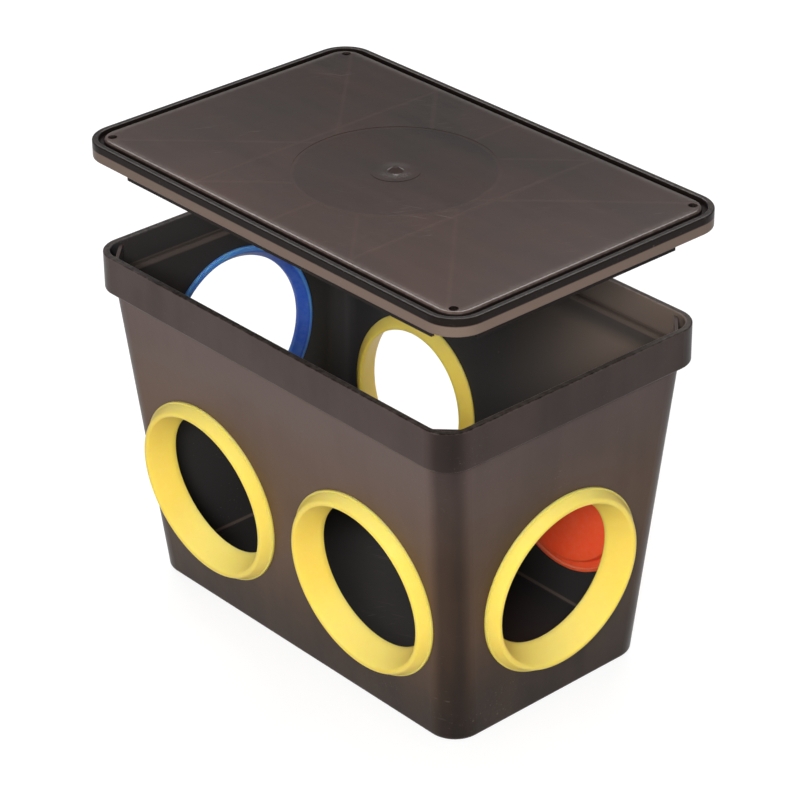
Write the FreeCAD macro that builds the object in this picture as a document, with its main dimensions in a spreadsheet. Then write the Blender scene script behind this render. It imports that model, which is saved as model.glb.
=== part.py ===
import FreeCAD, Part
import os

import Sketcher

# Driving dimensions in millimetres. The origin is the centre of the box's underside, +X runs
# along the long walls, -Y is the front wall and +Z is up.
SIZES = {
    # Flexible pipe seals, gripped by the wall at their neck; the box is laid out around them
    "seal_mouth_diameter": 120.0,
    "seal_bore_inset": 7.0,
    "seal_bore_land": 3.0,
    "seal_lip_wall": 3.0,
    "seal_lip_reach": 9.0,
    "seal_lip_bevel": 1.0,
    "seal_flange_ledge": 5.0,
    "seal_flange_thickness": 1.8,
    "seal_hole_margin": 1.5,
    "seal_clearance": 0.2,
    "seal_bead_grip": 1.5,
    "seal_bead_length": 1.8,
    "seal_tip_depth": 12.0,
    "seal_tip_wall": 2.0,
    "seal_foot_width": 4.0,
    # The inlet seal ends in a wide ring inside the wall instead of a long tip, around a wider bore
    "inlet_bead_grip": 4.0,
    "inlet_bead_length": 3.0,
    "inlet_bore_inset": 3.0,
    "inlet_lip_reach": 3.2,
    # Closed plug that fills one unused outlet
    "plug_wall": 3.0,
    "plug_pan_depth": 8.5,
    "plug_web_thickness": 3.0,
    "plug_ring_width": 2.5,
    "plug_ring_reach": 2.6,
    "plug_groove_depth": 1.6,
    "plug_disc_inset": 9.0,
    "plug_disc_foot_width": 1.5,
    # Places of the holes: outlets at one height, the inlet higher in the left end wall
    "outlet_gap": 24.0,
    "outlet_floor_gap": 29.0,
    "inlet_rise": 55.0,
    "inlet_collar_gap": 5.7,
    "plug_drop": 2.5,
    "long_wall_margin": 0.8,
    "end_wall_margin": 13.8,
    # Box shell: drafted walls under a wider collar that carries the rim
    "wall_corner": 21.0,
    "wall_thickness": 5.0,
    "floor_thickness": 4.0,
    "base_round": 3.0,
    "collar_height": 28.3,
    "collar_step": 5.5,
    "collar_edge_round": 1.6,
    "ledge_depth": 21.0,
    "ledge_edge_round": 2.8,
    "rim_thickness": 4.8,
    "rim_corner": 20.5,
    "rim_edge_round": 0.9,
    "corner_web": 2.4,
    "corner_web_drop": 3.0,
    # Lid: panel and rim on a seat plane, with a skirt outside and locating strips inside
    "lid_overhang": 6.2,
    "lid_side_overhang": 5.0,
    "lid_corner": 23.0,
    "lid_rim_width": 4.4,
    "lid_rim_round": 1.0,
    "lid_groove_width": 3.6,
    "lid_groove_depth": 3.2,
    "lid_groove_floor": 1.6,
    "lid_panel_thickness": 2.6,
    "lid_panel_round": 2.4,
    "skirt_depth": 7.8,
    "skirt_thickness": 2.2,
    "skirt_edge_round": 0.8,
    "strip_floor_gap": 0.4,
    "strip_thickness": 2.5,
    "strip_clearance": 3.8,
    "strip_corner_gap": 8.0,
    "screw_hole_diameter": 5.0,
    "screw_sink_margin": 0.6,
    "screw_sink_depth": 1.4,
    "disc_diameter": 139.0,
    "disc_recess": 0.2,
    "gate_boss_diameter": 34.0,
    "gate_nub_diameter": 11.0,
    "gate_nub_height": 2.6,
    "rib_thickness": 2.0,
    "rib_depth": 5.0,
    "cross_rib_spacing": 77.0,
    "corner_rib_offset": 60.0,
    "corner_rib_gap": 4.0,
    "side_rib_offset": 29.0,
    # The lid is held level above the rim, a little off centre within its play
    "lid_lift": 79.0,
    "lid_shift": 3.4,
    "lid_side_shift": 2.6,
}

# Drafts of the end walls and the long walls in degrees
DRAFTS = {
    "end_draft": 4.3,
    "side_draft": 5.2,
}

# Radii of a seal, as expressions of the sheet
BORE = "(sizes.seal_mouth_diameter / 2 - sizes.seal_bore_inset)"
INLET_BORE = "(sizes.seal_mouth_diameter / 2 - sizes.inlet_bore_inset)"
LIP = "(sizes.seal_mouth_diameter / 2 + sizes.seal_lip_wall)"
FLANGE = f"({LIP} + sizes.seal_flange_ledge)"
HOLE = "(sizes.seal_mouth_diameter / 2 + sizes.seal_hole_margin)"
NECK = f"({HOLE} - sizes.seal_clearance)"
BEAD = f"({HOLE} + sizes.seal_bead_grip)"
GRIP = "sizes.wall_thickness"

# Heights from the underside
OUTLET_HEIGHT = f"({FLANGE} + sizes.outlet_floor_gap)"
PLUG_HEIGHT = f"({OUTLET_HEIGHT} - sizes.plug_drop)"
INLET_HEIGHT = f"({OUTLET_HEIGHT} + sizes.inlet_rise)"
WALL_TOP = f"({INLET_HEIGHT} + {FLANGE} + sizes.inlet_collar_gap)"
BOX_HEIGHT = f"({WALL_TOP} + sizes.collar_height)"
LEDGE = f"({BOX_HEIGHT} - sizes.ledge_depth)"

# Drafted walls: half the outside length and width at the outlets' height, and the drafts
OUTLET_OFFSET = f"({FLANGE} + sizes.outlet_gap / 2)"
OUTLET_HALF_LENGTH = f"({OUTLET_OFFSET} + {BEAD} + sizes.long_wall_margin + sizes.wall_corner)"
OUTLET_HALF_WIDTH = f"({BEAD} + sizes.end_wall_margin + sizes.wall_corner)"
END_DRAFT = "(sizes.end_draft * 1 deg)"
SIDE_DRAFT = "(sizes.side_draft * 1 deg)"


def half_length(height):
    return f"({OUTLET_HALF_LENGTH} + tan({END_DRAFT}) * ({height} - {OUTLET_HEIGHT}))"


def half_width(height):
    return f"({OUTLET_HALF_WIDTH} + tan({SIDE_DRAFT}) * ({height} - {OUTLET_HEIGHT}))"


# Rim: half its size, the centre of its corner arc, the radius inside, and the thickness of
# the corner web measured along X or Y
RIM_X = f"({half_length(WALL_TOP)} + sizes.collar_step)"
RIM_Y = f"({half_width(WALL_TOP)} + sizes.collar_step)"
CORNER_X = f"({RIM_X} - sizes.rim_corner)"
CORNER_Y = f"({RIM_Y} - sizes.rim_corner)"
CHORD = "(sizes.rim_corner - sizes.rim_thickness)"
WEB_BACK = "(sizes.corner_web / sqrt(2))"

# Lid: its outside, and its levels above the seat plane
LID_LENGTH = f"(2 * {RIM_X} + 2 * sizes.lid_overhang)"
LID_WIDTH = f"(2 * {RIM_Y} + 2 * sizes.lid_side_overhang)"
LID_TOP = "(sizes.lid_groove_floor + sizes.lid_groove_depth)"
PANEL_UNDERSIDE = f"({LID_TOP} - sizes.lid_panel_thickness)"
PANEL_INSET = "(sizes.lid_rim_width + sizes.lid_groove_width)"
STRIP_INSET = "(sizes.rim_thickness + sizes.strip_clearance)"
UNDER_INSET = f"({STRIP_INSET} + sizes.strip_thickness)"

doc = FreeCAD.newDocument("septic_distribution_box")


def fill_sheet():
    """Puts every driving dimension and draft in the sheet, under its own alias."""
    sheet = doc.addObject("Spreadsheet::Sheet", "sizes")
    for row, (alias, value) in enumerate({**SIZES, **DRAFTS}.items(), start=1):
        sheet.set(f"A{row}", alias)
        sheet.set(f"B{row}", str(value))
        sheet.setAlias(f"B{row}", alias)
    doc.recompute()
    return sheet


def new_body(label):
    body = doc.addObject("PartDesign::Body", label)
    body.Label = label
    return body


def origin_feature(body, role):
    return next(item for item in body.Origin.OriginFeatures if item.Role == role)


def new_sketch(body, name, height="0", plane="XY_Plane"):
    """A sketch on one of the body's own planes, lifted by an expression."""
    sketch = body.newObject("Sketcher::SketchObject", name)
    sketch.AttachmentSupport = [(origin_feature(body, plane), "")]
    sketch.MapMode = "FlatFace"
    sketch.setExpression("AttachmentOffset.Base.z", height)
    return sketch


def value_of(sketch, expression):
    return float(sketch.evalExpression(expression))


def drive(sketch, constraint, expression):
    """Adds a dimension whose value follows an expression of the sheet."""
    index = sketch.addConstraint(constraint)
    sketch.setExpression(f"Constraints[{index}]", expression)


def polygon(sketch, points):
    """A closed outline whose corners are pairs of expressions."""
    first = sketch.GeometryCount
    places = [FreeCAD.Vector(value_of(sketch, x), value_of(sketch, y), 0) for x, y in points]
    count = len(points)
    for index in range(count):
        sketch.addGeometry(Part.LineSegment(places[index], places[(index + 1) % count]))
    for index in range(count):
        following = first + (index + 1) % count
        sketch.addConstraint(Sketcher.Constraint("Coincident", first + index, 2, following, 1))
    for index, (x, y) in enumerate(points):
        corner = first + index
        across = Sketcher.Constraint("DistanceX", -1, 1, corner, 1, places[index].x)
        drive(sketch, across, x)
        along = Sketcher.Constraint("DistanceY", -1, 1, corner, 1, places[index].y)
        drive(sketch, along, y)


def rectangle(sketch, left, right, low, high):
    polygon(sketch, [(left, low), (right, low), (right, high), (left, high)])


def circle(sketch, diameter, x="0", y="0"):
    centre = FreeCAD.Vector(value_of(sketch, x), value_of(sketch, y), 0)
    radius = value_of(sketch, f"({diameter}) / 2")
    index = sketch.addGeometry(Part.Circle(centre, FreeCAD.Vector(0, 0, 1), radius))
    drive(sketch, Sketcher.Constraint("Diameter", index, 2 * radius), diameter)
    drive(sketch, Sketcher.Constraint("DistanceX", -1, 1, index, 3, centre.x), x)
    drive(sketch, Sketcher.Constraint("DistanceY", -1, 1, index, 3, centre.y), y)


def rounded_rectangle(sketch, length, width, radius):
    """A rectangle about the origin with equal corner arcs; its sizes are expressions."""
    first = sketch.GeometryCount
    half_x = value_of(sketch, length) / 2
    half_y = value_of(sketch, width) / 2
    corner = value_of(sketch, radius)
    flat_x = half_x - corner
    flat_y = half_y - corner
    vector = FreeCAD.Vector
    sides = [
        (vector(-flat_x, -half_y, 0), vector(flat_x, -half_y, 0)),
        (vector(half_x, -flat_y, 0), vector(half_x, flat_y, 0)),
        (vector(flat_x, half_y, 0), vector(-flat_x, half_y, 0)),
        (vector(-half_x, flat_y, 0), vector(-half_x, -flat_y, 0)),
    ]
    for start, end in sides:
        sketch.addGeometry(Part.LineSegment(start, end))
    quarter = FreeCAD.Units.parseQuantity("90 deg").getValueAs("rad").Value
    turns = [(flat_x, -flat_y, -1), (flat_x, flat_y, 0), (-flat_x, flat_y, 1), (-flat_x, -flat_y, 2)]
    for x, y, turn in turns:
        whole = Part.Circle(vector(x, y, 0), vector(0, 0, 1), corner)
        sketch.addGeometry(Part.ArcOfCircle(whole, turn * quarter, (turn + 1) * quarter))
    for index in range(4):
        side = first + index
        arc = first + 4 + index
        following = first + (index + 1) % 4
        sketch.addConstraint(Sketcher.Constraint("Tangent", side, 2, arc, 1))
        sketch.addConstraint(Sketcher.Constraint("Tangent", arc, 2, following, 1))
        level = "Horizontal" if index % 2 == 0 else "Vertical"
        sketch.addConstraint(Sketcher.Constraint(level, side))
    for index in range(1, 4):
        sketch.addConstraint(Sketcher.Constraint("Equal", first + 4, first + 4 + index))
    sketch.addConstraint(Sketcher.Constraint("Symmetric", first + 4, 3, first + 6, 3, -1, 1))
    drive(sketch, Sketcher.Constraint("Radius", first + 4, corner), radius)
    across = Sketcher.Constraint("DistanceX", first + 3, 1, first + 1, 1, 2 * half_x)
    drive(sketch, across, length)
    along = Sketcher.Constraint("DistanceY", first, 1, first + 2, 1, 2 * half_y)
    drive(sketch, along, width)


def extrude(body, kind, name, sketch, length, upward):
    """A Pad or Pocket of a sketch, towards +Z or -Z."""
    feature = body.newObject(f"PartDesign::{kind}", name)
    feature.Profile = sketch
    feature.setExpression("Length", length)
    away = kind == "Pocket"
    feature.Reversed = upward == away
    return finish(body, feature)


def frustum(body, kind, name, low, high, inset="0"):
    """A drafted block between two heights, inside the walls' outer faces by an inset."""
    feature = body.newObject(f"PartDesign::{kind}Wedge", name)
    upright = FreeCAD.Rotation(FreeCAD.Vector(1, 0, 0), 90)
    feature.Placement = FreeCAD.Placement(FreeCAD.Vector(), upright)
    feature.setExpression("Ymin", low)
    feature.setExpression("Ymax", high)
    for level, height in (("", low), ("2", high)):
        for axis, half in (("X", half_length(height)), ("Z", half_width(height))):
            feature.setExpression(f"{axis}{level}min", f"{inset} - {half}")
            feature.setExpression(f"{axis}{level}max", f"{half} - {inset}")
    return finish(body, feature)


def revolve(body, name, sketch):
    feature = body.newObject("PartDesign::Revolution", name)
    feature.Profile = sketch
    feature.ReferenceAxis = (sketch, ["V_Axis"])
    feature.Angle = 360
    return finish(body, feature)


def finish(body, feature):
    """Makes a feature the end of its body and recomputes."""
    body.Tip = feature
    doc.recompute()
    return feature


def round_edges(body, name, base, radius, chosen):
    """Rounds the edges of the base feature that the test accepts."""
    names = [f"Edge{n}" for n, edge in enumerate(base.Shape.Edges, start=1) if chosen(edge)]
    feature = body.newObject("PartDesign::Fillet", name)
    feature.Base = (base, names)
    feature.setExpression("Radius", radius)
    return finish(body, feature)


def lies_at(edge, height):
    """True for an edge that lies wholly in the level plane at a height."""
    box = edge.BoundBox
    return abs(box.ZMin - height) < 1e-4 and abs(box.ZMax - height) < 1e-4


def climbs(edge, low, high):
    """True for an edge that runs from one height to another."""
    box = edge.BoundBox
    return abs(box.ZMin - low) < 1e-4 and abs(box.ZMax - high) < 1e-4


def reaches_past(edge, half_x, half_y):
    """True for an edge that goes beyond a rectangle about the origin."""
    box = edge.BoundBox
    return max(box.XMax, -box.XMin) > half_x or max(box.YMax, -box.YMin) > half_y


def mirror_to_corners(body, name, original):
    """Repeats a feature of one quarter in the other three."""
    pattern = body.newObject("PartDesign::MultiTransform", name)
    pattern.Originals = [original]
    mirrors = []
    for plane in ("YZ_Plane", "XZ_Plane"):
        mirror = body.newObject("PartDesign::Mirrored", f"{name}_{plane}")
        mirror.MirrorPlane = (origin_feature(body, plane), [""])
        mirrors.append(mirror)
    pattern.Transformations = mirrors
    return finish(body, pattern)


# Each wall: the axis that turns a part's own Z out of it, the side of the box it is on,
# its draft, and whether it is a long wall
WALLS = {
    "front": (FreeCAD.Vector(1, 0, 0), -1, SIDE_DRAFT, True),
    "rear": (FreeCAD.Vector(-1, 0, 0), 1, SIDE_DRAFT, True),
    "right": (FreeCAD.Vector(0, 1, 0), 1, END_DRAFT, False),
    "left": (FreeCAD.Vector(0, -1, 0), -1, END_DRAFT, False),
}


def seat_on_wall(item, wall, along, height, depth="0"):
    """Stands an item square on a wall's outer face, or sinks it inwards by a depth."""
    axis, side, draft, long_wall = WALLS[wall]
    reach = half_width(height) if long_wall else half_length(height)
    across = f"{side} * ({reach} - {depth} * cos({draft}))"
    item.Placement = FreeCAD.Placement(FreeCAD.Vector(), FreeCAD.Rotation(axis, 90))
    item.setExpression("Placement.Rotation.Angle", f"90 deg + {draft}")
    item.setExpression("Placement.Base.x", along if long_wall else across)
    item.setExpression("Placement.Base.y", across if long_wall else along)
    item.setExpression("Placement.Base.z", f"{height} + {depth} * sin({draft})")


# Where the seals and the plug sit: node, wall, place along the wall, height
OUTLET_SEALS = [
    ("pipe_seal_front_left", "front", f"-{OUTLET_OFFSET}", OUTLET_HEIGHT),
    ("pipe_seal_front_right", "front", OUTLET_OFFSET, OUTLET_HEIGHT),
    ("pipe_seal_right_end", "right", "0", OUTLET_HEIGHT),
    ("pipe_seal_rear_left", "rear", f"-{OUTLET_OFFSET}", OUTLET_HEIGHT),
]
INLET_SEALS = [("inlet_seal_left_end", "left", "0", INLET_HEIGHT)]
PLUGS = [("outlet_plug_rear_right", "rear", OUTLET_OFFSET, PLUG_HEIGHT)]


def make_box():
    """The moulded shell: drafted tub, stepped collar, corner webs and pipe holes."""
    body = new_body("box_shell")
    floor = "sizes.floor_thickness"
    walls = frustum(body, "Additive", "walls", "0", LEDGE)
    floor_height = value_of(walls, floor)
    ledge_height = value_of(walls, LEDGE)
    rim_height = value_of(walls, BOX_HEIGHT)
    cavity = frustum(body, "Subtractive", "cavity", floor, LEDGE, inset="sizes.wall_thickness")
    hollow = round_edges(
        body,
        "cavity_corners",
        cavity,
        "sizes.wall_corner - sizes.wall_thickness",
        lambda edge: climbs(edge, floor_height, ledge_height),
    )
    tub = round_edges(
        body, "wall_corners", hollow, "sizes.wall_corner", lambda edge: climbs(edge, 0, ledge_height)
    )
    round_edges(body, "base_edge", tub, "sizes.base_round", lambda edge: lies_at(edge, 0))

    step = new_sketch(body, "collar_step_outline", WALL_TOP)
    rounded_rectangle(step, f"2 * {RIM_X}", f"2 * {RIM_Y}", "sizes.rim_corner")
    rounded_rectangle(
        step,
        f"2 * {half_length(WALL_TOP)} - sizes.wall_thickness",
        f"2 * {half_width(WALL_TOP)} - sizes.wall_thickness",
        "sizes.wall_corner - sizes.wall_thickness / 2",
    )
    extrude(body, "Pad", "collar_step", step, "sizes.collar_height - sizes.ledge_depth", upward=True)

    collar = new_sketch(body, "collar_outline", LEDGE)
    rounded_rectangle(collar, f"2 * {RIM_X}", f"2 * {RIM_Y}", "sizes.rim_corner")
    mouth_length = f"2 * ({RIM_X} - sizes.rim_thickness)"
    mouth_width = f"2 * ({RIM_Y} - sizes.rim_thickness)"
    rounded_rectangle(collar, mouth_length, mouth_width, CHORD)
    rim = extrude(body, "Pad", "collar", collar, "sizes.ledge_depth", upward=True)
    rounded = round_edges(
        body, "rim_edge", rim, "sizes.rim_edge_round", lambda edge: lies_at(edge, rim_height)
    )
    step_height = value_of(walls, WALL_TOP)
    tread_x = value_of(walls, f"{RIM_X} - sizes.collar_step / 2")
    tread_y = value_of(walls, f"{RIM_Y} - sizes.collar_step / 2")
    stepped = round_edges(
        body,
        "collar_edge",
        rounded,
        "sizes.collar_edge_round",
        lambda edge: lies_at(edge, step_height) and reaches_past(edge, tread_x, tread_y),
    )
    brink_x = value_of(walls, f"{half_length(LEDGE)} - sizes.wall_thickness / 2")
    brink_y = value_of(walls, f"{half_width(LEDGE)} - sizes.wall_thickness / 2")
    round_edges(
        body,
        "ledge_edge",
        stepped,
        "sizes.ledge_edge_round",
        lambda edge: lies_at(edge, ledge_height) and not reaches_past(edge, brink_x, brink_y),
    )

    web = new_sketch(body, "corner_web_outline", f"{BOX_HEIGHT} - sizes.corner_web_drop")
    bury = "(sizes.rim_thickness / 2)"
    polygon(web, [
        (f"{CORNER_X} - {bury}", f"{CORNER_Y} + {CHORD} + {bury}"),
        (f"{CORNER_X} - {bury} - {WEB_BACK}", f"{CORNER_Y} + {CHORD} + {bury} - {WEB_BACK}"),
        (f"{CORNER_X} + {CHORD} + {bury} - {WEB_BACK}", f"{CORNER_Y} - {bury} - {WEB_BACK}"),
        (f"{CORNER_X} + {CHORD} + {bury}", f"{CORNER_Y} - {bury}"),
    ])
    web_depth = "sizes.ledge_depth - sizes.corner_web_drop"
    one_web = extrude(body, "Pad", "corner_web", web, web_depth, upward=False)
    mirror_to_corners(body, "corner_webs", one_web)

    for node, wall, along, height in OUTLET_SEALS + INLET_SEALS + PLUGS:
        hole = body.newObject("PartDesign::SubtractiveCylinder", f"hole_for_{node}")
        hole.setExpression("Radius", HOLE)
        hole.setExpression("Height", "4 * sizes.wall_thickness")
        seat_on_wall(hole, wall, along, height, depth="2 * sizes.wall_thickness")
        finish(body, hole)
    return body


def make_pipe_seal(node, crest, inner_end):
    """A flexible sleeve: flange and thin lip outside the wall, and an inner end of its own."""
    body = new_body(node)
    section = new_sketch(body, f"{node}_section", plane="XZ_Plane")
    mouth = "sizes.seal_mouth_diameter / 2"
    bevel = "sizes.seal_lip_bevel"
    outside = [
        (mouth, f"{crest} - {bevel}"),
        (f"{mouth} + {bevel}", crest),
        (f"{LIP} - {bevel}", crest),
        (LIP, f"{crest} - {bevel}"),
        (f"{LIP} + sizes.seal_foot_width", "sizes.seal_flange_thickness"),
        (FLANGE, "sizes.seal_flange_thickness"),
        (FLANGE, "0"),
        (NECK, "0"),
        (NECK, f"-{GRIP}"),
    ]
    polygon(section, outside + inner_end)
    revolve(body, f"{node}_sleeve", section)
    return body


def outlet_end():
    """The inside of an outlet seal: a narrow bead, then a sleeve that closes in to its tip."""
    return [
        (BEAD, f"-{GRIP}"),
        (BEAD, f"-{GRIP} - sizes.seal_bead_length"),
        (f"{BORE} + sizes.seal_tip_wall", "-sizes.seal_tip_depth"),
        (BORE, "-sizes.seal_tip_depth"),
        (BORE, "-sizes.seal_tip_depth + sizes.seal_bore_land"),
    ]


def inlet_end():
    """The inside of the inlet seal: a wide ring that opens into a funnel."""
    ring = f"({HOLE} + sizes.inlet_bead_grip)"
    brink = f"(-{GRIP} - sizes.inlet_bead_length)"
    return [
        (ring, f"-{GRIP}"),
        (ring, brink),
        (HOLE, brink),
        (INLET_BORE, "-sizes.seal_bore_land / 2"),
        (INLET_BORE, "sizes.seal_bore_land / 2"),
    ]


def make_plug(node):
    """A closed plug: the seal's flange and grip, a ring inside and a raised disc across."""
    body = new_body(node)
    section = new_sketch(body, f"{node}_section", plane="XZ_Plane")
    disc = f"({BEAD} - sizes.plug_disc_inset)"
    pan = f"({disc} - sizes.plug_wall)"
    face = "(-sizes.plug_pan_depth - sizes.plug_web_thickness)"
    ring = f"({BEAD} - sizes.plug_ring_width)"
    brink = f"(-{GRIP} - sizes.plug_ring_reach)"
    groove = f"({brink} + sizes.plug_groove_depth)"
    polygon(section, [
        ("0", "-sizes.plug_pan_depth"),
        (pan, "-sizes.plug_pan_depth"),
        (pan, "sizes.seal_flange_thickness"),
        (FLANGE, "sizes.seal_flange_thickness"),
        (FLANGE, "0"),
        (NECK, "0"),
        (NECK, f"-{GRIP}"),
        (BEAD, f"-{GRIP}"),
        (BEAD, brink),
        (ring, brink),
        (ring, groove),
        (f"{disc} + sizes.plug_disc_foot_width", groove),
        (disc, face),
        ("0", face),
    ])
    revolve(body, f"{node}_disc", section)
    return body


def make_lid():
    """The lid, drawn from its seat plane: rim, groove, panel, skirt, strips and ribs."""
    body = new_body("lid")
    outline = new_sketch(body, "lid_outline")
    rounded_rectangle(outline, LID_LENGTH, LID_WIDTH, "sizes.lid_corner")
    extrude(body, "Pad", "plate", outline, LID_TOP, upward=True)

    skirt = new_sketch(body, "skirt_outline")
    rounded_rectangle(skirt, LID_LENGTH, LID_WIDTH, "sizes.lid_corner")
    skirt_length = f"{LID_LENGTH} - 2 * sizes.skirt_thickness"
    skirt_width = f"{LID_WIDTH} - 2 * sizes.skirt_thickness"
    rounded_rectangle(skirt, skirt_length, skirt_width, "sizes.lid_corner - sizes.skirt_thickness")
    skirted = extrude(body, "Pad", "skirt", skirt, "sizes.skirt_depth", upward=False)
    hem = -value_of(skirt, "sizes.skirt_depth")
    hem_x = value_of(skirt, f"{LID_LENGTH} / 2 - sizes.skirt_thickness / 2")
    hem_y = value_of(skirt, f"{LID_WIDTH} / 2 - sizes.skirt_thickness / 2")
    round_edges(
        body,
        "skirt_edge",
        skirted,
        "sizes.skirt_edge_round",
        lambda edge: lies_at(edge, hem) and reaches_past(edge, hem_x, hem_y),
    )

    groove = new_sketch(body, "groove_outline", LID_TOP)
    for inset in ("sizes.lid_rim_width", PANEL_INSET):
        length = f"{LID_LENGTH} - 2 * {inset}"
        width = f"{LID_WIDTH} - 2 * {inset}"
        rounded_rectangle(groove, length, width, f"sizes.lid_corner - {inset}")
    grooved = extrude(body, "Pocket", "groove", groove, "sizes.lid_groove_depth", upward=False)

    crown = value_of(groove, LID_TOP)
    middle = "(sizes.lid_rim_width + sizes.lid_groove_width / 2)"
    middle_x = value_of(groove, f"{LID_LENGTH} / 2 - {middle}")
    middle_y = value_of(groove, f"{LID_WIDTH} / 2 - {middle}")

    def on_panel(edge):
        return lies_at(edge, crown) and not reaches_past(edge, middle_x, middle_y)

    def on_rim(edge):
        return lies_at(edge, crown) and reaches_past(edge, middle_x, middle_y)

    panel_edge = round_edges(body, "panel_edge", grooved, "sizes.lid_panel_round", on_panel)
    round_edges(body, "lid_rim_edge", panel_edge, "sizes.lid_rim_round", on_rim)

    under = new_sketch(body, "underside_outline")
    under_x = f"({RIM_X} - {UNDER_INSET})"
    under_y = f"({RIM_Y} - {UNDER_INSET})"
    rounded_rectangle(under, f"2 * {under_x}", f"2 * {under_y}", f"sizes.rim_corner - {UNDER_INSET}")
    extrude(body, "Pocket", "underside", under, PANEL_UNDERSIDE, upward=True)

    strips = new_sketch(body, "strip_outlines")
    end_x = f"({CORNER_X} - sizes.strip_corner_gap)"
    end_y = f"({CORNER_Y} - sizes.strip_corner_gap)"
    for sign in ("-", ""):
        rectangle(strips, f"-{end_x}", end_x, f"{sign}{under_y}", f"{sign}({RIM_Y} - {STRIP_INSET})")
        rectangle(strips, f"{sign}{under_x}", f"{sign}({RIM_X} - {STRIP_INSET})", f"-{end_y}", end_y)
    strip_depth = "sizes.ledge_depth - sizes.strip_floor_gap"
    extrude(body, "Pad", "locating_strips", strips, strip_depth, upward=False)

    add_ribs(body, under_y)
    add_panel_marks(body)
    body.setExpression("Placement.Base.x", "sizes.lid_shift")
    body.setExpression("Placement.Base.y", "sizes.lid_side_shift")
    body.setExpression("Placement.Base.z", f"{BOX_HEIGHT} + sizes.lid_lift")
    return body


def add_ribs(body, wide_end):
    """Ring, cross and diagonal ribs that stiffen the panel from below."""
    ring = new_sketch(body, "ring_rib_outline", PANEL_UNDERSIDE)
    circle(ring, "sizes.disc_diameter")
    circle(ring, "sizes.disc_diameter - 2 * sizes.rib_thickness")
    extrude(body, "Pad", "ring_rib", ring, "sizes.rib_depth", upward=False)

    half = "sizes.rib_thickness / 2"
    inside = "(sizes.disc_diameter / 2 - sizes.rib_thickness)"
    place = "sizes.cross_rib_spacing"
    cross = new_sketch(body, "cross_rib_outlines", PANEL_UNDERSIDE)
    rectangle(cross, f"-{half}", half, inside, wide_end)
    rectangle(cross, f"-{half}", half, f"-{wide_end}", f"-{inside}")
    rectangle(cross, f"{place} - {half}", f"{place} + {half}", f"-{wide_end}", wide_end)
    rectangle(cross, f"-{place} - {half}", f"-{place} + {half}", f"-{wide_end}", wide_end)
    extrude(body, "Pad", "cross_ribs", cross, "sizes.rib_depth", upward=False)

    # Two ribs in each quarter run out from the ring at 45 degrees. One heads for the
    # corner and stops short of the web in the collar, the other meets the long strip.
    drop = "sizes.corner_rib_offset"
    web_line = f"({CORNER_X} + {CORNER_Y} + {CHORD} - 2 * {WEB_BACK} - sizes.corner_rib_gap * sqrt(2))"
    corner_start = f"({drop} / 2 + sqrt({inside}^2 / 2 - {drop}^2 / 4))"
    corner_end = f"(({web_line} + {drop}) / 2)"
    rise = "sizes.side_rib_offset"
    side_start = f"(-{rise} / 2 + sqrt({inside}^2 / 2 - {rise}^2 / 4))"
    side_end = f"({wide_end} - {rise})"
    skew = "sizes.rib_thickness / 2 / sqrt(2)"
    diagonals = (
        ("corner_rib", corner_start, corner_end, f"-{drop}"),
        ("side_rib", side_start, side_end, f"+{rise}"),
    )
    for name, start, end, shift in diagonals:
        diagonal = new_sketch(body, f"{name}_outline", PANEL_UNDERSIDE)
        polygon(diagonal, [
            (f"{start} + {skew}", f"{start} {shift} - {skew}"),
            (f"{end} + {skew}", f"{end} {shift} - {skew}"),
            (f"{end} - {skew}", f"{end} {shift} + {skew}"),
            (f"{start} - {skew}", f"{start} {shift} + {skew}"),
        ])
        rib = extrude(body, "Pad", name, diagonal, "sizes.rib_depth", upward=False)
        mirror_to_corners(body, f"{name}s", rib)


def add_panel_marks(body):
    """The shallow disc, the moulding gate at its centre and the corner screw holes."""
    disc = new_sketch(body, "disc_outline", LID_TOP)
    circle(disc, "sizes.disc_diameter")
    circle(disc, "sizes.gate_boss_diameter")
    extrude(body, "Pocket", "disc", disc, "sizes.disc_recess", upward=False)

    nub = new_sketch(body, "gate_nub_section", plane="XZ_Plane")
    foot = "sizes.gate_nub_diameter / 2"
    polygon(nub, [
        ("0", f"{LID_TOP} - sizes.disc_recess"),
        (foot, f"{LID_TOP} - sizes.disc_recess"),
        (foot, LID_TOP),
        (f"{foot} / 3", f"{LID_TOP} + sizes.gate_nub_height"),
        ("0", f"{LID_TOP} + sizes.gate_nub_height"),
    ])
    revolve(body, "gate_nub", nub)

    # Each screw stands over the middle of the pocket between a corner web and the collar
    pocket_middle = f"({CHORD} * (1 + 1 / sqrt(2)) / 2 / sqrt(2))"
    x = f"{CORNER_X} + {pocket_middle}"
    y = f"{CORNER_Y} + {pocket_middle}"
    sink = "sizes.screw_hole_diameter + 2 * sizes.screw_sink_margin"
    cuts = (
        ("screw_hole", "sizes.screw_hole_diameter", LID_TOP),
        ("screw_sink", sink, "sizes.screw_sink_depth"),
    )
    for name, diameter, depth in cuts:
        sketch = new_sketch(body, f"{name}_outline", LID_TOP)
        circle(sketch, diameter, x, y)
        one = extrude(body, "Pocket", name, sketch, depth, upward=False)
        mirror_to_corners(body, f"{name}s", one)


def build():
    """Builds every sub-part and returns the bodies in order."""
    fill_sheet()
    bodies = [make_box()]
    kinds = (
        (OUTLET_SEALS, "sizes.seal_lip_reach", outlet_end()),
        (INLET_SEALS, "sizes.inlet_lip_reach", inlet_end()),
    )
    for places, crest, inner_end in kinds:
        for node, wall, along, height in places:
            seal = make_pipe_seal(node, crest, inner_end)
            seat_on_wall(seal, wall, along, height)
            bodies.append(seal)
    for node, wall, along, height in PLUGS:
        plug = make_plug(node)
        seat_on_wall(plug, wall, along, height)
        bodies.append(plug)
    bodies.append(make_lid())
    doc.recompute()
    return bodies


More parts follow.
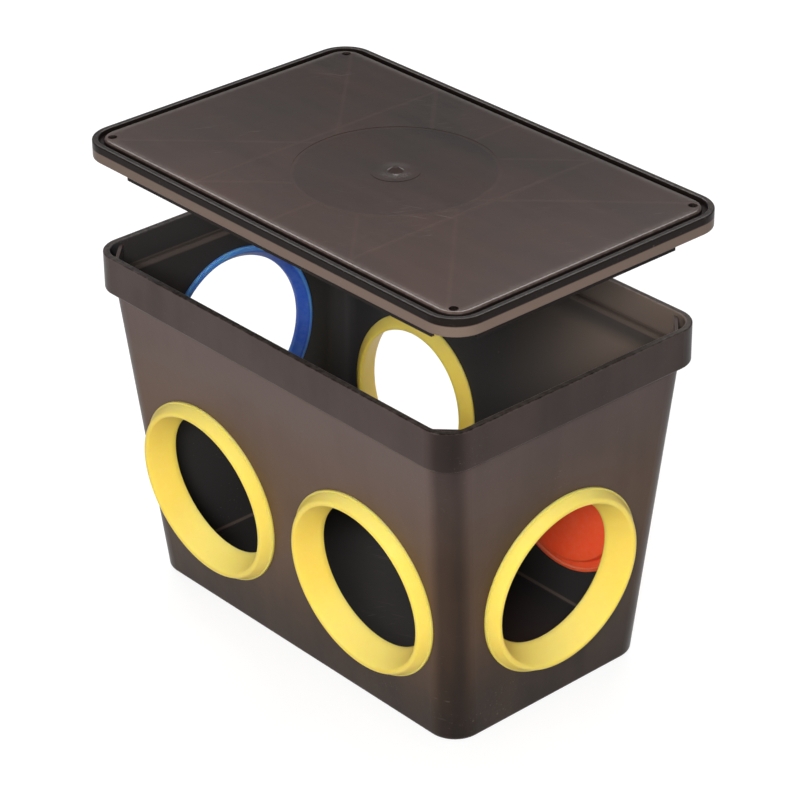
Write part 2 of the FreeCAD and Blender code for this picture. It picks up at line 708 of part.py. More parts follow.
def check(bodies):
    """Stops on any object that failed and any body that is not one valid solid."""
    for item in doc.Objects:
        if {"Invalid", "Error"} & set(item.State):
            raise RuntimeError(f"{item.Label} did not recompute: {item.State}")
    for body in bodies:
        shape = body.Shape
        if shape.isNull() or not shape.isValid() or len(shape.Solids) != 1:
            raise RuntimeError(f"{body.Label} is not one valid solid")


sub_parts = build()
check(sub_parts)
os.makedirs("parts", exist_ok=True)
for sub_part in sub_parts:
    sub_part.Shape.exportStep(os.path.join("parts", f"{sub_part.Label}.step"))
    print(sub_part.Label, round(sub_part.Shape.Volume / 1000, 1), "cm3")
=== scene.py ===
"""A septic distribution box with its lid lifted off: seals, finishes, studio and camera."""

import logging
import math
from dataclasses import dataclass
from enum import Enum
from functools import reduce
from typing import Any, NamedTuple

import bmesh
import bpy
from mathutils import Matrix, Vector


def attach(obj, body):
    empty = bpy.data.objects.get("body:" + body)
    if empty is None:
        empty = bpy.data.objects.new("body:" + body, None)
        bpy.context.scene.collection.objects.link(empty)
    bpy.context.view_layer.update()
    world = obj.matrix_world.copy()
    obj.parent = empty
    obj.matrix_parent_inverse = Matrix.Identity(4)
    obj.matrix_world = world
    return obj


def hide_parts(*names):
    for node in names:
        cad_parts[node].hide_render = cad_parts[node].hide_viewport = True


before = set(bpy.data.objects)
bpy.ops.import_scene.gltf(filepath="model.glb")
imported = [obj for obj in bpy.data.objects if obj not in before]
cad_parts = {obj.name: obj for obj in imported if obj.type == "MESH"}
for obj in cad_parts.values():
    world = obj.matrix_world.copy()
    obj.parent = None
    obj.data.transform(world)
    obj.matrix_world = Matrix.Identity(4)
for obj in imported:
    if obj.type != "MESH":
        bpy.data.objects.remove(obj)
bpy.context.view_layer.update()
LOG = logging.getLogger("distribution_box")

Colour = tuple[float, float, float, float]
Triple = tuple[float, float, float]
Span = tuple[float, float]
Socket = bpy.types.NodeSocket
Term = Socket | float

WHITE: Colour = (1.0, 1.0, 1.0, 1.0)
LEVEL: Triple = (1.0, 1.0, 0.0)
OUTLET_HEIGHT = 0.097
INLET_HEIGHT = 0.152


class Axes(NamedTuple):
    """The three parts of a vector."""

    x: Socket
    y: Socket
    z: Socket


class Sheet:
    """Short calls that add nodes to one node tree and join them."""

    TURN_SHARES: Triple = (0.3, 0.2, 1.0)

    def __init__(self, tree: bpy.types.NodeTree) -> None:
        """Take the tree that the nodes go into."""
        self.tree = tree

    @classmethod
    def blank(cls, owner: bpy.types.Material | bpy.types.World) -> "Sheet":
        """Clear the tree of a material or of the surroundings and open it.

        Args:
            owner: What the tree belongs to.

        Returns:
            The sheet of the empty tree.
        """
        owner.use_nodes = True
        owner.node_tree.nodes.clear()
        return cls(owner.node_tree)

    def add(self, kind: str, sockets: dict[str | int, Any] | None = None, **settings: Any) -> bpy.types.Node:
        """Add a node and fill its sockets.

        Args:
            kind: The node's type without its leading ShaderNode.
            sockets: Values or outputs of other nodes, by socket name or number.
            settings: Properties of the node itself.

        Returns:
            The new node.
        """
        node = self.tree.nodes.new(f"ShaderNode{kind}")
        for name, value in settings.items():
            setattr(node, name, value)
        for name, value in (sockets or {}).items():
            if isinstance(value, Socket):
                self.tree.links.new(value, node.inputs[name])
            else:
                node.inputs[name].default_value = value
        return node

    def math(self, operation: str, *terms: Term) -> Socket:
        """Join one to three terms by a Math node and give its result."""
        return self.add("Math", dict(enumerate(terms)), operation=operation).outputs[0]

    def plus(self, first: Term, second: Term) -> Socket:
        """Add two terms."""
        return self.math("ADD", first, second)

    def minus(self, first: Term, second: Term) -> Socket:
        """Take the second term from the first."""
        return self.math("SUBTRACT", first, second)

    def times(self, first: Term, second: Term) -> Socket:
        """Multiply two terms."""
        return self.math("MULTIPLY", first, second)

    def scaled(self, value: Term, factor: Term, offset: Term) -> Socket:
        """Multiply a value by a factor and add an offset."""
        return self.math("MULTIPLY_ADD", value, factor, offset)

    def most(self, *terms: Term) -> Socket:
        """Give the largest of two or more terms."""
        return reduce(lambda first, second: self.math("MAXIMUM", first, second), terms)

    def least(self, *terms: Term) -> Socket:
        """Give the smallest of two or more terms."""
        return reduce(lambda first, second: self.math("MINIMUM", first, second), terms)

    def unsigned(self, value: Term) -> Socket:
        """Give a value without its sign."""
        return self.math("ABSOLUTE", value)

    def axes(self, vector: Socket) -> Axes:
        """Take a vector apart."""
        return Axes(*self.add("SeparateXYZ", {0: vector}).outputs)

    def vector(self, operation: str, *terms: Socket | Triple) -> Socket:
        """Join vectors and give the vector that results."""
        return self.add("VectorMath", dict(enumerate(terms)), operation=operation).outputs["Vector"]

    def measure(self, operation: str, *terms: Socket | Triple) -> Socket:
        """Join vectors and give the number that results."""
        return self.add("VectorMath", dict(enumerate(terms)), operation=operation).outputs["Value"]

    def facing(self) -> Socket:
        """Give the direction that the surface faces."""
        return self.add("NewGeometry").outputs["Normal"]

    def fade(self, value: Socket, span: Span, level: float = 0.0) -> Socket:
        """Give a smooth step.

        Args:
            value: What the step follows.
            span: Where the step is 0 and where it is 1, measured from the level.
            level: The level itself.

        Returns:
            A value from 0 to 1.
        """
        sockets = {"Value": value, "From Min": level + span[0], "From Max": level + span[1]}
        return self.add("MapRange", sockets, interpolation_type="SMOOTHSTEP").outputs[0]

    def mix(self, share: Term, first: Socket | Colour, second: Socket | Colour) -> Socket:
        """Blend two colours by a share from 0 to 1."""
        # The colour sockets of the Mix node are its inputs 6 and 7 and its output 2.
        return self.add("Mix", {0: share, 6: first, 7: second}, data_type="RGBA").outputs[2]

    def noise(self, place: Socket, scale: Term, detail: float = 2.0, roughness: float = 0.5) -> Socket:
        """Give a noise value around one half at a place."""
        sockets = {"Vector": place, "Scale": scale, "Detail": detail, "Roughness": roughness}
        return self.add("TexNoise", sockets).outputs[0]

    def stretch(self, place: Socket, scale: Triple, turn: float = 0.0) -> Socket:
        """Scale a place along each axis after a turn.

        Args:
            place: The point on the object.
            scale: The factor along each axis.
            turn: The turn about the upright; the other axes take a share of it.

        Returns:
            The stretched place.
        """
        rotation = tuple(share * turn for share in self.TURN_SHARES)
        turned = self.add("Mapping", {"Vector": place, "Rotation": rotation})
        return self.add("Mapping", {"Vector": turned.outputs[0], "Scale": scale}).outputs[0]


class SharedEffects:
    """The node groups that every finish uses, each built once."""

    PEEL_SCALE = 150.0
    PEEL_SHARE = 0.6
    GRAIN_SHARE = 0.4
    CLOUD_SCALE = 12.0
    SOFT_SPAN: Span = (0.3, 0.7)
    ALONG: Triple = (900.0, 12.0, 700.0)
    ALONG_TURN = 0.5
    ALONG_SPAN: Span = (0.68, 0.78)
    ACROSS: Triple = (14.0, 800.0, 900.0)
    ACROSS_TURN = -0.4
    ACROSS_SPAN: Span = (0.69, 0.79)
    PATCH_SCALE = 16.0
    PATCH_SPAN: Span = (0.5, 0.66)
    RUB_SCALE = 240.0
    RUB_SPAN: Span = (0.30, 0.75)

    def __init__(self) -> None:
        """Build the groups."""
        self.surface = self.moulded_surface()
        self.wear = self.handling_wear()

    @staticmethod
    def open_group(name: str, inputs: dict[str, str]) -> tuple[Sheet, bpy.types.Node]:
        """Start a node group.

        Args:
            name: The group's name.
            inputs: Socket types by input name.

        Returns:
            The sheet of the group's tree and its input node.
        """
        tree = bpy.data.node_groups.new(name, "ShaderNodeTree")
        for label, kind in inputs.items():
            tree.interface.new_socket(label, in_out="INPUT", socket_type=kind)
        return Sheet(tree), tree.nodes.new("NodeGroupInput")

    @staticmethod
    def close_group(sheet: Sheet, outputs: dict[str, Socket]) -> bpy.types.NodeTree:
        """Finish a node group.

        Args:
            sheet: The sheet of the group's tree.
            outputs: The values that it puts out, by output name.

        Returns:
            The finished group.
        """
        for label in outputs:
            sheet.tree.interface.new_socket(label, in_out="OUTPUT", socket_type="NodeSocketFloat")
        result = sheet.tree.nodes.new("NodeGroupOutput")
        for label, value in outputs.items():
            sheet.tree.links.new(value, result.inputs[label])
        return sheet.tree

    def moulded_surface(self) -> bpy.types.NodeTree:
        """Build the skin of a moulding: grain height, cloudy tint and flow streaks.

        Returns:
            The group, with the outputs Height, Cloud and Flow.
        """
        sheet, given = self.open_group("moulded_surface", {
            "Place": "NodeSocketVector",
            "Flow Place": "NodeSocketVector",
            "Grain Scale": "NodeSocketFloat",
        })
        place, flow_place, grain_scale = given.outputs[:3]
        grain = sheet.noise(place, grain_scale)
        peel = sheet.noise(place, self.PEEL_SCALE, detail=1.0)
        cloud = sheet.noise(place, self.CLOUD_SCALE, detail=5.0, roughness=0.55)
        flow = sheet.noise(flow_place, 1.0, detail=3.0)
        return self.close_group(sheet, {
            "Height": sheet.scaled(peel, self.PEEL_SHARE, sheet.times(grain, self.GRAIN_SHARE)),
            "Cloud": sheet.fade(cloud, self.SOFT_SPAN),
            "Flow": sheet.fade(flow, self.SOFT_SPAN),
        })

    def handling_wear(self) -> bpy.types.NodeTree:
        """Build light handling wear: hairline scratches and rubbed edges, which also carry painted highlights
        where an edge mask brings them.

        Returns:
            The group, with the outputs Hairlines and Rub.
        """
        inputs = {"Place": "NodeSocketVector", "Edge": "NodeSocketFloat"}
        sheet, given = self.open_group("handling_wear", inputs)
        place, edge = given.outputs[:2]
        along = sheet.noise(sheet.stretch(place, self.ALONG, self.ALONG_TURN), 1.0, detail=1.0)
        across = sheet.noise(sheet.stretch(place, self.ACROSS, self.ACROSS_TURN), 1.0, detail=1.0)
        lines = sheet.most(sheet.fade(along, self.ALONG_SPAN), sheet.fade(across, self.ACROSS_SPAN))
        patch = sheet.fade(sheet.noise(place, self.PATCH_SCALE, detail=3.0), self.PATCH_SPAN)
        broken = sheet.fade(sheet.noise(place, self.RUB_SCALE, detail=3.0, roughness=0.6), self.RUB_SPAN)
        hairlines = sheet.times(lines, patch)
        return self.close_group(sheet, {"Hairlines": hairlines, "Rub": sheet.times(edge, broken)})


class Skin(NamedTuple):
    """What the shared effects give at a point, in the order of their outputs."""

    height: Socket
    cloud: Socket
    flow: Socket
    hairlines: Socket
    rub_and_sheen: Socket


@dataclass(frozen=True, kw_only=True)
class Moulding:
    """What every moulded finish has: a grained and clouded skin with light wear."""

    name: str
    effects: SharedEffects
    grain_scale: float
    flow_stretch: Triple

    def make(self) -> bpy.types.Material:
        """Build the material.

        Returns:
            The material under the finish's name.
        """
        material = bpy.data.materials.new(self.name)
        sheet = Sheet.blank(material)
        shader = self.shader(sheet, sheet.add("TexCoord").outputs["Object"])
        sheet.add("OutputMaterial", {0: shader.outputs[0]})
        return material

    def shader(self, sheet: Sheet, place: Socket) -> bpy.types.Node:
        """Give the shader of the finish at a point on the object."""
        raise NotImplementedError

    def skin(self, sheet: Sheet, place: Socket, edge: Term) -> Skin:
        """Place the shared effects.

        Args:
            sheet: The tree that they go into.
            place: The point on the object.
            edge: How near an edge it is, from 0 to 1.

        Returns:
            The outputs of both effects.
        """
        flow_place = sheet.stretch(place, self.flow_stretch)
        given = {"Place": place, "Flow Place": flow_place, "Grain Scale": self.grain_scale}
        moulded = sheet.add("Group", given, node_tree=self.effects.surface)
        worn = sheet.add("Group", {"Place": place, "Edge": edge}, node_tree=self.effects.wear)
        return Skin(*moulded.outputs, *worn.outputs)


class Masks(NamedTuple):
    """Values from 0 to 1 that say what the plastic does at a point: its tone, painted shade and painted
    light, wear, dents and coat; the tone and shade or a dent may be more.
    """

    tone_and_shade: Socket
    warm: Socket
    painted_glow: Socket
    edge: Socket
    inner: Term = 0.0
    dent: Term = 0.0
    gloss: Term = 0.0


@dataclass(frozen=True, kw_only=True)
class SmokedPlastic(Moulding):
    """Smoke-tinted moulding plastic from nearly black to brown, with painted shade and painted light mixed
    into its colour by masks.
    """

    # The near-black colour is both the plastic's dark tone and painted shade; the grey inside colour is
    # painted shade; the pale brown one is painted light; the palest one is wear with painted highlights.
    tone_and_shade: Colour = (0.011, 0.0075, 0.0065, 1.0)
    tint: Colour = (0.112, 0.076, 0.067, 1.0)
    warm: Colour = (0.112, 0.063, 0.037, 1.0)
    inner: Colour = (0.031, 0.029, 0.029, 1.0)
    painted_glow: Colour = (0.185, 0.135, 0.108, 1.0)
    wear_and_sheen: Colour = (0.240, 0.195, 0.175, 1.0)
    grain_scale: float = 1300.0
    flow_stretch: Triple = (55.0, 55.0, 5.0)
    cloud_depth: float = 0.14
    flow_depth: float = 0.08
    cloud_mean: float = 0.11
    wear_share: float = 0.22
    roughness: float = 0.29
    cloud_rough: float = 0.10
    hairline_rough: float = 0.12
    hairline_depth: float = 0.25
    grain_height: float = 0.44
    dent_depth: float = 4.0
    bump_strength: float = 0.5
    bump_distance: float = 0.0005
    specular: float = 0.12
    coat_roughness: float = 0.20
    coat_ior: float = 1.45

    def shader(self, sheet: Sheet, place: Socket) -> bpy.types.Node:
        """Tint the plastic and paint shade and light into it by its masks, then cloud, wear and coat it.

        Args:
            sheet: The tree of the material.
            place: The point on the object.

        Returns:
            The shader's node.
        """
        masks = self.masks(sheet, place)
        skin = self.skin(sheet, place, masks.edge)
        clouded = sheet.scaled(skin.cloud, self.cloud_depth, sheet.times(skin.flow, self.flow_depth))
        shade = sheet.plus(masks.tone_and_shade, sheet.minus(clouded, self.cloud_mean))
        shade = sheet.add("Clamp", {"Value": shade}).outputs[0]
        colour = sheet.mix(masks.warm, self.tint, self.warm)
        for share, other in ((shade, self.tone_and_shade), (masks.inner, self.inner), (masks.painted_glow, self.painted_glow)):
            colour = sheet.mix(share, colour, other)
        # Rubbed edges, which also carry painted highlights, and hairline scratches lighten the colour.
        for worn in (skin.rub_and_sheen, skin.hairlines):
            colour = sheet.mix(sheet.times(worn, self.wear_share), colour, self.wear_and_sheen)

        rough = sheet.scaled(skin.cloud, self.cloud_rough, self.roughness)
        height = sheet.scaled(skin.hairlines, -self.hairline_depth, skin.height)
        height = sheet.scaled(height, self.grain_height, sheet.times(masks.dent, -self.dent_depth))
        bump = sheet.add("Bump", {
            "Strength": self.bump_strength,
            "Distance": self.bump_distance,
            "Height": height,
        })
        return sheet.add("BsdfPrincipled", {
            "Base Color": colour,
            "Roughness": sheet.scaled(skin.hairlines, self.hairline_rough, rough),
            "Specular IOR Level": self.specular,
            "Coat Weight": masks.gloss,
            "Coat Roughness": self.coat_roughness,
            "Coat IOR": self.coat_ior,
            "Normal": bump.outputs[0],
        })

    def masks(self, sheet: Sheet, place: Socket) -> Masks:
        """Give the plastic's tone and painted shade, warmth, painted light, edges, the inside with its
        painted shade, dents and gloss.
        """
        raise NotImplementedError


@dataclass(frozen=True, kw_only=True)
class ShellPlastic(SmokedPlastic):
    """Smoked plastic of the box: a darker collar and rim top, painted shade at the corners, the end walls,
    the base and inside, and painted light inside.
    """

    wall_top: float = 0.2257
    ledge: float = 0.233
    rim: float = 0.254
    inside_span: Span = (0.004, -0.010)
    upright_span: Span = (0.3, 0.7)
    floor_drop: float = 0.004
    base_span: Span = (0.110, 0.0)
    base_shade: float = 0.76
    collar_span: Span = (-0.001, 0.001)
    collar_darkening: float = 0.54
    corner_span: Span = (0.02, 0.50)
    corner_shade: float = 0.66
    end_span: Span = (0.5, 0.9)
    end_shade: float = 0.36
    rim_span: Span = (-0.003, -0.001)
    warm_span: Span = (0.225, 0.120)
    above_span: Span = (0.0005, 0.0015)
    lit_along: Span = (-0.02, 0.15)
    lit_up: Span = (0.09, 0.22)
    shadow_span: Span = (-0.020, -0.006)
    shadow_loss: float = 0.62
    wall_glow: float = 0.80
    collar_glow: float = 0.66
    brow_span: Span = (-0.0034, -0.0020)
    lip_along: Span = (0.0, 0.14)
    lip_gain: float = 0.18
    lip_glow: float = 0.30
    foot_top: Span = (0.0082, 0.0070)
    foot_low: Span = (0.0046, 0.0056)
    foot_glow: float = 0.45
    rim_wear_and_sheen: Span = (-0.0014, -0.0003)
    base_rub: Span = (0.0035, 0.001)

    def masks(self, sheet: Sheet, place: Socket) -> Masks:
        """Give the masks of the box.

        Args:
            sheet: The tree that they are built in.
            place: The point on the box.

        Returns:
            The masks; nothing on the box is dented or coated.
        """
        along, _, height = sheet.axes(place)
        facing = sheet.facing()
        turned = sheet.axes(facing)
        upright = sheet.fade(turned.z, self.upright_span)
        outward = sheet.measure("DOT_PRODUCT", sheet.vector("MULTIPLY", place, LEVEL), facing)
        floor = sheet.times(upright, sheet.fade(height, (self.rim - self.floor_drop, self.ledge)))
        inside = sheet.most(sheet.fade(outward, self.inside_span), floor)
        return Masks(
            tone_and_shade=self.shade_and_tone(sheet, height, turned, upright),
            warm=sheet.fade(height, self.warm_span),
            # Inside the box: painted light, and painted shade on every inside face through the grey inside
            # colour.
            painted_glow=sheet.times(self.painted_inside_light(sheet, along, height), inside),
            # Edge wear at the rim and the base; at the rim it also stands for a painted highlight.
            edge=sheet.most(sheet.fade(height, self.rim_wear_and_sheen, self.rim), sheet.fade(height, self.base_rub)),
            inner=inside,
        )

    def shade_and_tone(self, sheet: Sheet, height: Socket, turned: Axes, upright: Socket) -> Socket:
        """Give how dark the plastic is painted from outside: painted shade at the base, the corners and the
        end walls, and a darker collar and rim top.

        Args:
            sheet: The tree that the value is built in.
            height: The height above the underside.
            turned: The direction that the surface faces.
            upright: 1 where it faces up.

        Returns:
            A value from 0 to 1.
        """
        # Painted shade: darker towards the base; the collar's outside is made darker too.
        low = sheet.times(sheet.fade(height, self.base_span), self.base_shade)
        collar = sheet.times(sheet.fade(height, self.collar_span, self.wall_top), self.collar_darkening)
        # Painted shade at the vertical corners and on the end walls.
        lengthwise = sheet.unsigned(turned.x)
        slanted = sheet.least(lengthwise, sheet.unsigned(turned.y))
        corner = sheet.scaled(sheet.fade(slanted, self.corner_span), -self.corner_shade, 1.0)
        end = sheet.scaled(sheet.fade(lengthwise, self.end_span), -self.end_shade, 1.0)
        clear = sheet.minus(1.0, sheet.most(low, collar))
        tone_and_shade = sheet.minus(1.0, sheet.times(sheet.times(clear, corner), end))
        # The rim's top is made darkest.
        return sheet.most(tone_and_shade, sheet.times(upright, sheet.fade(height, self.rim_span, self.rim)))

    def painted_inside_light(self, sheet: Sheet, along: Socket, height: Socket) -> Socket:
        """Give the painted light inside the box.

        Args:
            sheet: The tree that the value is built in.
            along: The place along the box.
            height: The height above the underside.

        Returns:
            A value from 0 to 1, larger near the right end, under the ledge and round the floor.
        """
        above = sheet.fade(height, self.above_span, self.ledge)
        # Painted pool of light towards the right end and up the inside walls.
        lit = sheet.times(sheet.fade(along, self.lit_along), sheet.fade(height, self.lit_up))
        # Painted shadow of the lid on the walls below the ledge.
        shadow = sheet.fade(height, self.shadow_span, self.ledge)
        # Painted light on the walls, and on the collar's inner face above the ledge.
        wall = sheet.scaled(shadow, -self.shadow_loss, self.wall_glow)
        glow = sheet.most(wall, sheet.times(above, self.collar_glow))
        # Painted highlight on the ledge's rounded edge, stronger towards the right end.
        ledge_highlight = sheet.times(sheet.fade(height, self.brow_span, self.ledge), sheet.minus(1.0, above))
        lip = sheet.scaled(sheet.fade(along, self.lip_along), self.lip_gain, self.lip_glow)
        # Painted light in a pale line at the foot of the inside walls.
        foot = sheet.times(sheet.fade(height, self.foot_top), sheet.fade(height, self.foot_low))
        return sheet.most(sheet.times(lit, glow), sheet.times(ledge_highlight, lip), sheet.times(foot, self.foot_glow))


class LidZones(NamedTuple):
    """Where a point lies on the lid: measures first, then parts of the lid from 0 to 1."""

    inset: Socket
    radius: Socket
    panel: Socket
    top: Socket
    skirt: Socket
    rim: Socket
    sink: Socket


@dataclass(frozen=True, kw_only=True)
class LidPlastic(SmokedPlastic):
    """Smoked plastic of the lid: a dark rim, painted shade on its sides, strips and screw holes and towards
    its far left corner, a thin skirt painted paler by light through it, painted highlights on the panel's
    edge and the rim's crown, a crowned panel and faint rib marks.
    """

    tint: Colour = (0.120, 0.068, 0.058, 1.0)
    warm: Colour = (0.120, 0.058, 0.038, 1.0)
    specular: float = 0.06
    flow_stretch: Triple = (9.0, 70.0, 70.0)
    seat: float = 0.333
    top: float = 0.3378
    centre: Triple = (0.0034, 0.0026, 0.0)
    half_length: float = 0.1862
    half_width: float = 0.1200
    corner: float = 0.023
    panel_inset: float = 0.008
    roll: float = 0.006
    screw: tuple[float, float] = (0.168953, 0.103988)
    disc: float = 0.0695
    rib_ring: float = 0.0685
    cross_rib: float = 0.077
    corner_rib: float = 0.060
    side_rib: float = 0.029
    panel_span: Span = (-0.0004, 0.0006)
    top_span: Span = (-0.0016, -0.0010)
    skirt_span: Span = (-0.0001, -0.0012)
    rib_span: Span = (0.0026, 0.0)
    ring_span: Span = (0.0, -0.001)
    rib_clear: float = 0.1
    hole_span: Span = (0.0036, 0.0029)
    hem_span: Span = (0.004, 0.002)
    hem_glow: float = 0.80
    shoulder_span: Span = (0.009, 0.0)
    shoulder_sheen: float = 0.10
    crown_span: Span = (-0.0007, -0.0001)
    crown_gloss: float = 0.6
    near_wear_and_sheen: float = 0.35
    far_wear_and_sheen: float = 0.50
    far_span: Span = (0.106, 0.113)
    panel_warm: float = 0.6
    lean: Triple = (-0.5, 1.5, 0.0)
    lean_span: Span = (-0.27, 0.20)
    far_shade_share: float = 0.29
    panel_depth: float = 0.57
    disc_span: Span = (0.0020, -0.0030)
    disc_depth: float = 0.08
    rib_lift: float = 0.10
    rim_and_side_shade: float = 1.2
    side_span: Span = (0.80, 0.45)
    strip_span: Span = (-0.0080, -0.0088)
    roll_dent: float = 1.8
    rib_dent: float = 0.08
    gate_span: Span = (0.014, 0.004)
    gate_dent: float = 1.2
    gloss_span: Span = (0.0, 0.002)

    def masks(self, sheet: Sheet, place: Socket) -> Masks:
        """Give the masks of the lid.

        Args:
            sheet: The tree that they are built in.
            place: The point on the lid.

        Returns:
            The masks; the lid has no inner side of its own.
        """
        place = sheet.vector("SUBTRACT", place, self.centre)
        _, across, height = sheet.axes(place)
        zones = self.zones(sheet, place)
        # Painted light: the thin skirt is paler where light shines through it, and the panel's edge gets a
        # painted highlight.
        hem = sheet.times(zones.skirt, sheet.fade(zones.inset, self.hem_span))
        shoulder = sheet.times(sheet.fade(zones.inset, self.shoulder_span, self.panel_inset), zones.panel)
        shoulder = sheet.times(shoulder, zones.top)
        # Wear on the rim's crown that also paints a highlight, stronger towards the far edge.
        crown = sheet.times(sheet.fade(height, self.crown_span, self.top), zones.rim)
        rub_and_sheen = sheet.scaled(sheet.fade(across, self.far_span), self.far_wear_and_sheen, self.near_wear_and_sheen)
        coated = sheet.times(zones.panel, sheet.fade(height, self.gloss_span, self.seat))
        return Masks(
            tone_and_shade=self.shade_and_tone(sheet, place, zones),
            warm=sheet.times(zones.panel, self.panel_warm),
            painted_glow=sheet.most(sheet.times(hem, self.hem_glow), sheet.times(shoulder, self.shoulder_sheen)),
            edge=sheet.most(sheet.times(crown, rub_and_sheen), shoulder),
            dent=self.relief(sheet, zones),
            gloss=sheet.most(coated, sheet.times(crown, self.crown_gloss)),
        )

    def zones(self, sheet: Sheet, place: Socket) -> LidZones:
        """Find where a point lies on the lid.

        Args:
            sheet: The tree that the zones are built in.
            place: The point, measured from the lid's middle.

        Returns:
            The zones.
        """
        along, across, height = sheet.axes(place)
        x, y = sheet.unsigned(along), sheet.unsigned(across)
        radius = sheet.measure("LENGTH", sheet.vector("MULTIPLY", place, LEVEL))
        inset = self.inset(sheet, x, y)
        panel = sheet.fade(inset, self.panel_span, self.panel_inset)
        top = sheet.times(sheet.fade(height, self.top_span, self.top), panel)
        skirt = sheet.fade(height, self.skirt_span, self.seat)
        rim = sheet.times(sheet.minus(1.0, panel), sheet.minus(1.0, skirt))
        sink = sheet.times(sheet.fade(self.ribs(sheet, x, y, radius), self.rib_span), top)
        return LidZones(inset, radius, panel, top, skirt, rim, sink)

    def shade_and_tone(self, sheet: Sheet, place: Socket, zones: LidZones) -> Socket:
        """Give the plastic's tone and its painted shade.

        Args:
            sheet: The tree that the value is built in.
            place: The point, measured from the lid's middle.
            zones: Where it lies on the lid.

        Returns:
            A value that is 1 or more at the rim, the sides, the strips and the screw holes.
        """
        along, across, height = sheet.axes(place)
        # Painted shade: the panel darkens towards its far left corner.
        far_shade = sheet.fade(sheet.measure("DOT_PRODUCT", place, self.lean), self.lean_span)
        disc = sheet.times(sheet.fade(zones.radius, self.disc_span, self.disc), zones.top)
        panel = sheet.scaled(far_shade, self.far_shade_share, self.panel_depth)
        panel = sheet.scaled(zones.sink, -self.rib_lift, panel)
        panel = sheet.scaled(disc, self.disc_depth, panel)
        # The rim is made darkest; faces turned sideways get painted shade.
        upward = sheet.axes(sheet.facing()).z
        side = sheet.times(sheet.fade(upward, self.side_span), sheet.minus(1.0, zones.skirt))
        # Painted shade on the strips under the hem.
        strip = sheet.fade(height, self.strip_span, self.seat)
        edges = [sheet.times(part, self.rim_and_side_shade) for part in (zones.rim, side)]
        # Painted shade in the screw holes.
        hole = self.hole(sheet, sheet.unsigned(along), sheet.unsigned(across))
        return sheet.most(panel, *edges, strip, hole)

    def relief(self, sheet: Sheet, zones: LidZones) -> Socket:
        """Give how far the surface dips.

        Args:
            sheet: The tree that the value is built in.
            zones: Where the point lies on the lid.

        Returns:
            A dip along the panel's rolled edge and over the ribs, less the small gate boss.
        """
        past = sheet.most(sheet.minus(self.panel_inset + self.roll, zones.inset), 0.0)
        rolled = sheet.math("DIVIDE", sheet.least(past, self.roll), self.roll)
        ribs = sheet.times(zones.sink, self.rib_dent)
        dip = sheet.scaled(sheet.math("POWER", rolled, 2.0), self.roll_dent, ribs)
        return sheet.scaled(sheet.fade(zones.radius, self.gate_span), -self.gate_dent, dip)

    def hole(self, sheet: Sheet, x: Socket, y: Socket) -> Socket:
        """Find the screw holes at the corners.

        Args:
            sheet: The tree that the value is built in.
            x: The unsigned place along the lid.
            y: The unsigned place across the lid.

        Returns:
            A value that is 1 within a hole.
        """
        off = sheet.add("CombineXYZ", {0: sheet.minus(x, self.screw[0]), 1: sheet.minus(y, self.screw[1])})
        return sheet.fade(sheet.measure("LENGTH", off.outputs[0]), self.hole_span)

    def inset(self, sheet: Sheet, x: Socket, y: Socket) -> Socket:
        """Measure inwards from the lid's rounded outline.

        Args:
            sheet: The tree that the value is built in.
            x: The unsigned place along the lid.
            y: The unsigned place across the lid.

        Returns:
            The distance from the outline.
        """
        past_x = sheet.minus(x, self.half_length - self.corner)
        past_y = sheet.minus(y, self.half_width - self.corner)
        beyond = sheet.add("CombineXYZ", {0: sheet.most(past_x, 0.0), 1: sheet.most(past_y, 0.0)})
        reach = sheet.measure("LENGTH", beyond.outputs[0])
        short = sheet.least(sheet.most(past_x, past_y), 0.0)
        return sheet.minus(self.corner, sheet.plus(reach, short))

    def ribs(self, sheet: Sheet, x: Socket, y: Socket, radius: Socket) -> Socket:
        """Measure from the nearest rib: the ring, or a straight one outside it.

        Args:
            sheet: The tree that the value is built in.
            x: The unsigned place along the lid.
            y: The unsigned place across the lid.
            radius: The distance from the lid's middle.

        Returns:
            The distance from the rib.
        """
        ring = sheet.unsigned(sheet.minus(radius, self.rib_ring))
        cross = sheet.unsigned(sheet.minus(x, self.cross_rib))
        corner = self.slant(sheet, x, y, self.corner_rib)
        side = self.slant(sheet, x, y, -self.side_rib)
        within = sheet.fade(radius, self.ring_span, self.rib_ring)
        return sheet.least(ring, sheet.scaled(within, self.rib_clear, sheet.least(x, cross, corner, side)))

    @staticmethod
    def slant(sheet: Sheet, x: Socket, y: Socket, offset: float) -> Socket:
        """Give the distance from a rib at 45 degrees that starts at an offset along X."""
        gap = sheet.minus(sheet.minus(x, offset), y)
        return sheet.times(sheet.unsigned(gap), math.sqrt(0.5))


class Tints(NamedTuple):
    """The slot name of a colour and its tints."""

    slot: str
    lit: Colour
    shaded: Colour
    # The top tint is painted light for faces turned up.
    top_lit: Colour


class SealColour(Enum):
    """The colours that the seals and the plug are moulded in."""

    YELLOW = Tints("yellow_seal", (0.93, 0.67, 0.12, 1.0), (0.87, 0.57, 0.07, 1.0), (0.95, 0.80, 0.26, 1.0))
    BLUE = Tints("blue_seal", (0.085, 0.300, 0.680, 1.0), (0.022, 0.085, 0.420, 1.0), (0.20, 0.45, 0.76, 1.0))
    RED = Tints("red_plug", (0.95, 0.110, 0.032, 1.0), (0.90, 0.075, 0.020, 1.0), (0.95, 0.36, 0.26, 1.0))


